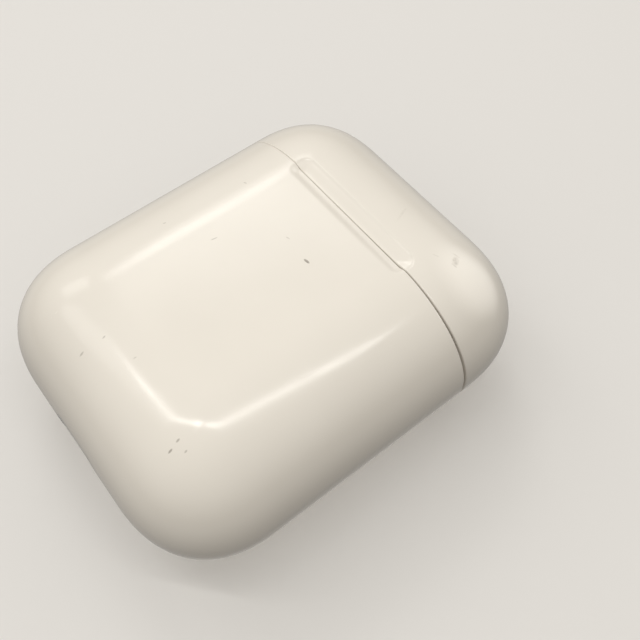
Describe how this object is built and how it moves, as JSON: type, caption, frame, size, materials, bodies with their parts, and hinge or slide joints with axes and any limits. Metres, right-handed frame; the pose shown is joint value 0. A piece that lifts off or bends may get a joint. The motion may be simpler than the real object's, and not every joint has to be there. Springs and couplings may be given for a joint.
{
  "type": "wireless earbuds case",
  "caption": "Pebble-shaped charging case for wireless earbuds with a hinged flip lid, stem wells, a setup button and a charging port.",
  "frame": {"origin": "middle of the flat back face, on the surface that the case lies on", "axes": "+X across the case, +Y along it towards the lid, +Z from the back face to the front face"},
  "size_m": [0.0444, 0.0536, 0.0213],
  "materials": {
    "shell_white": "polished, fine scratches",
    "tray_white": "polished",
    "hinge_steel": "fine brushed",
    "pin_steel": "ground",
    "spring_steel": "drawn wire",
    "screw_steel": "turned",
    "magnet_nickel": "nickel plated",
    "contact_gold": "gold plated",
    "flex_amber": "polyimide film",
    "light_pipe_clear": "frosted",
    "led_yellow": "moulded",
    "battery_wrap": "foil wrap",
    "foam_grey": "foam",
    "board_green": "solder resist",
    "chip_black": "moulded epoxy",
    "shield_tin": "tinned sheet",
    "connector_ivory": "moulded",
    "passive_tan": "ceramic",
    "switch_black": "moulded",
    "port_steel": "satin",
    "socket_plastic": "moulded"
  },
  "bodies": {
    "case": {"body_shell": "shell_white", "charging_tray": "tray_white", "left_well": "tray_white", "right_well": "tray_white", "left_stem_tube": "tray_white", "right_stem_tube": "tray_white", "hinge_body_leaf": "hinge_steel", "hinge_pin": "pin_steel", "hinge_springs": "spring_steel", "body_hinge_screws": "screw_steel", "body_magnet": "magnet_nickel", "earbud_magnets": "magnet_nickel", "well_contacts": "contact_gold", "contact_boards": "flex_amber", "light_pipe": "light_pipe_clear", "status_led": "led_yellow", "battery": "battery_wrap", "battery_pad": "foam_grey", "battery_guard_board": "board_green", "main_board": "board_green", "controller_chip": "chip_black", "shield_can": "shield_tin", "power_chip": "chip_black", "battery_connector": "connector_ivory", "board_passives": "passive_tan", "setup_switch": "switch_black", "port_bezel": "port_steel", "port_socket": "socket_plastic", "port_contacts": "contact_gold", "port_flex": "flex_amber"},
    "lid": {"lid_shell": "shell_white", "lid_liner": "tray_white", "hinge_lid_leaf": "hinge_steel", "lid_hinge_screws": "screw_steel", "lid_magnet": "magnet_nickel"},
    "button": {"setup_button": "shell_white", "switch_plunger": "switch_black"}
  },
  "joints": [
    {"name": "lid_hinge", "type": "hinge", "parent": "case", "child": "lid", "pos_m": [0, 0.0132, 0.0011], "axis": [-1, 0, 0], "range_deg": [0, 100]},
    {"name": "setup_button_press", "type": "slide", "parent": "case", "child": "button", "axis": [0, 0, 1], "range_m": [0, 0.00025], "stiffness_N_per_m": 2000}
  ]
}
